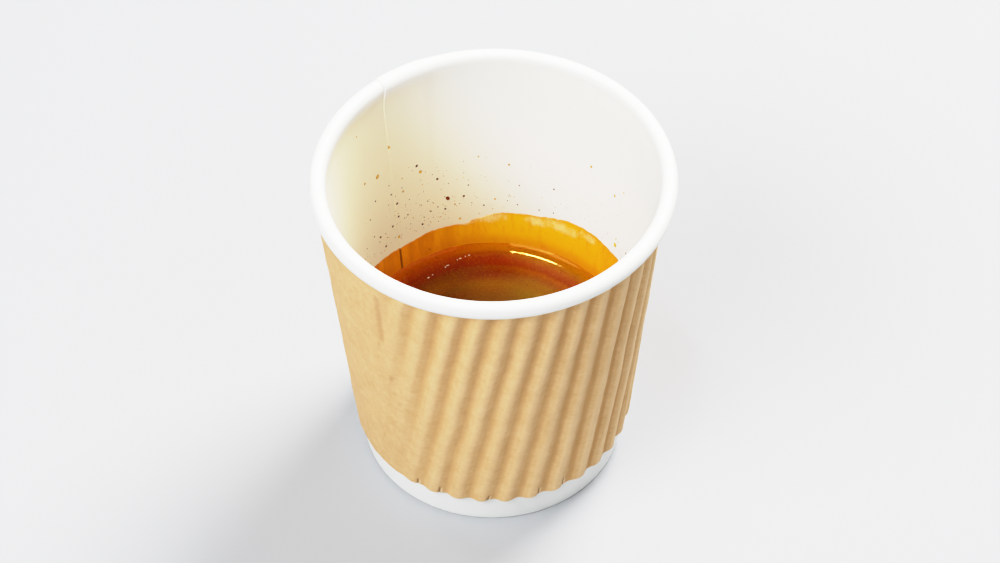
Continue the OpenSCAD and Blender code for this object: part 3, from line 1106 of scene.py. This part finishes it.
# drops dried on the wall: turn in degrees, height, radius and tint
DROPS = (
    (120.1, 42.9, 0.24, "dark"), (118.7, 41.2, 0.34, "tan"), (138.4, 45.4, 0.37, "tan"),
    (111.7, 38.0, 0.24, "dark"), (107.8, 32.7, 0.37, "red"), (101.1, 32.5, 0.22, "dark"),
    (130.6, 36.5, 0.23, "dark"), (132.7, 39.2, 0.17, "dark"), (127.2, 38.5, 0.20, "tan"),
    (127.0, 41.6, 0.15, "tan"), (131.5, 50.3, 0.26, "tan"), (146.4, 57.8, 0.15, "tan"),
    (145.5, 46.3, 0.22, "tan"), (99.1, 35.0, 0.15, "dark"), (82.8, 39.7, 0.20, "tan"),
    (94.8, 41.6, 0.17, "tan"), (48.2, 45.3, 0.26, "tan"), (78.5, 35.0, 0.15, "dark"),
    (79.2, 30.3, 0.14, "dark"), (88.4, 31.3, 0.18, "tan"), (93.0, 29.8, 0.16, "dark"),
    (64.1, 36.0, 0.16, "dark"), (70.0, 30.0, 0.15, "dark"), (63.7, 30.3, 0.14, "dark"),
    (34.5, 42.9, 0.26, "olive"), (29.3, 45.6, 0.18, "olive"), (30.5, 32.3, 0.42, "olive"),
    (30.4, 33.8, 0.19, "olive"), (22.0, 33.7, 0.19, "dark"), (141.1, 40.4, 0.16, "dark"),
    (145.4, 37.4, 0.15, "dark"), (144.3, 32.8, 0.15, "dark"), (140.9, 31.4, 0.22, "dark"),
    (138.5, 28.3, 0.20, "dark"), (133.7, 31.7, 0.21, "dark"), (130.5, 33.3, 0.20, "dark"),
    (126.0, 32.5, 0.15, "dark"), (131.4, 28.5, 0.24, "olive"), (109.1, 30.3, 0.19, "dark"),
    (119.6, 28.6, 0.20, "dark"), (103.1, 27.2, 0.23, "olive"), (115.5, 30.9, 0.15, "dark"),
    (112.2, 31.3, 0.14, "dark"), (104.9, 30.9, 0.15, "tan"), (116.5, 33.6, 0.12, "dark"),
    (123.6, 31.1, 0.13, "tan"), (117.4, 21.9, 0.20, "dark"), (-38.0, 41.0, 0.22, "tan"),
    (-120.0, 35.0, 0.20, "dark"), (-95.0, 31.0, 0.18, "dark"),
)


# mist of tiny drops: how many, middle and spread of an uneven scatter or the ends of an even
# one, lowest height, its spread, and least and most radius
MIST = (
    (150, "uneven", 122, 15, 27.5, 6.0, 0.045, 0.115),
    (60, "even", 15, 100, 30.5, 4.5, 0.04, 0.10),
    (60, "even", -200, 15, 30.5, 6.0, 0.04, 0.12),
)
MIST_TINTS = ("dark", "tan", "dark", "tan", "olive")


def tiny_drops():
    """The mist, thickest above the stain on the seam's side."""
    luck = np.random.RandomState(57)
    found = []
    for count, scatter, a, b, low, tall, least, most in MIST:
        for _ in range(count):
            turn = luck.uniform(a, b) if scatter == "even" else a + luck.normal(0, b)
            found.append((turn, low + abs(luck.normal(0, tall)), least, most))
    return [
        (turn, z, luck.uniform(least, most), MIST_TINTS[luck.randint(len(MIST_TINTS))])
        for turn, z, least, most in found
    ]


# froth flecks along the foot of the drink's climb, painted pale to stand in for glints: turn,
# distance from the wall, length
GLINT_FROTH = (
    (100.4, 1.85, 0.42), (102.3, 2.0, 0.22), (104.8, 2.2, 0.50), (106.4, 2.35, 0.20),
    (111.9, 2.95, 0.62), (113.2, 3.1, 0.26), (121.0, 3.6, 0.20), (123.8, 3.75, 0.50),
)
FLECK_SIZE, FLECK_MORE, FLECK_SINK = 0.10, 0.04, 0.01


def drink_height(away):
    """Height of the drink's face at a distance from the wall."""
    reach, height = meniscus(MENISCUS_H, np.geomspace(1.0, 0.01, 200))
    return CONTACT - MENISCUS_H + np.interp(away, reach, height)


class Domes:
    """Low domes of dried or frothy coffee, gathered into one mesh."""

    STEPS = 12
    # height and reach of each ring, then the height of the tip, all in sizes
    RINGS = ((0.0, 1.0), (0.10, 0.97), (0.24, 0.78), (0.33, 0.45))
    TIP = 0.36

    def __init__(self, seed):
        self.luck = np.random.RandomState(seed)
        self.points, self.faces, self.tints = [], [], []

    def add(self, centre, normal, long_axis, size, stretch, colour, tones):
        """One dome; each ring has its tone of the colour, and its outline is a little ragged."""
        wide_axis = np.cross(normal, long_axis)
        steps, start = self.STEPS, len(self.points)
        edge = 1 + 0.10 * self.luck.uniform(-1, 1, steps)
        for (height, reach), tone in zip(self.RINGS, tones):
            for k in range(steps):
                b = 2 * math.pi * k / steps
                across = long_axis * stretch * math.sin(b) + wide_axis * math.cos(b)
                self.points.append(centre + size * (across * reach * edge[k] + normal * height))
            self.tints += [(*(tone * c for c in colour), 1.0)] * steps
        self.points += [centre + normal * size * self.TIP, centre]
        self.tints += [(*(tones[-1] * c for c in colour), 1.0)] * 2
        tip, back = len(self.points) - 2, len(self.points) - 1
        last = start + (len(self.RINGS) - 1) * steps
        for k in range(steps):
            n = (k + 1) % steps
            for low in range(start, last, steps):
                self.faces.append((low + k, low + n, low + steps + n, low + steps + k))
            self.faces.append((last + k, last + n, tip))
            self.faces.append((start + n, start + k, back))


def make_drops(material):
    """Dried drops and mist on the wall, and froth flecks on the drink painted pale as glints."""
    domes = Domes(61)
    for turn, z, size, tint in (*DROPS, *tiny_drops()):
        a = math.radians(turn)
        r = float(inside_surface(turn, z)) - DROP_GAP
        normal = np.array([-math.cos(a), -math.sin(a), WALL_SLOPE])
        normal /= np.linalg.norm(normal)
        side = np.array([-math.sin(a), math.cos(a), 0.0])
        lean = domes.luck.uniform(-0.6, 0.6)
        long_axis = math.cos(lean) * np.cross(normal, side) + math.sin(lean) * side
        centre = np.array([r * math.cos(a), r * math.sin(a), z])
        # dried thickest at its edge, so the middle is paler
        tones = np.array(DROP_SHADES)
        if tint not in ("dark", "red"):
            tones[2:] = TAN_MIDDLE
        tones = tones * domes.luck.uniform(0.8, 1.2)
        stretch = domes.luck.uniform(1, 1.35)
        domes.add(centre, normal, long_axis, size, stretch, DROP_TINTS[tint], tones)
    upright = np.array([0.0, 0.0, 1.0])
    for turn, away, length in GLINT_FROTH:
        a = math.radians(turn)
        r = float(inside_surface(turn, CONTACT)) - WALL_GAP - away
        z = float(drink_height(away)) - FLECK_SINK
        centre = np.array([r * math.cos(a), r * math.sin(a), z])
        along = np.array([-math.sin(a), math.cos(a), 0.0])
        size = FLECK_SIZE + FLECK_MORE * domes.luck.uniform()
        stretch = length / size / 2
        # froth flecks painted pale as glints
        domes.add(centre, upright, along, size, stretch, GLINT_FLECK_TINT, [1] * len(Domes.RINGS))
    add_mesh("dried_drops", domes.points, domes.faces, material, {"tint": domes.tints})


# ---------------------------------------------------------------- put together

add_camera()
add_floor()
add_lighting()
make_cup(board_paint())
make_base(base_paint())
make_wrap(kraft_paint())
make_espresso(coffee_paint())
make_stain(stain_paint())
make_drops(speck_paint())
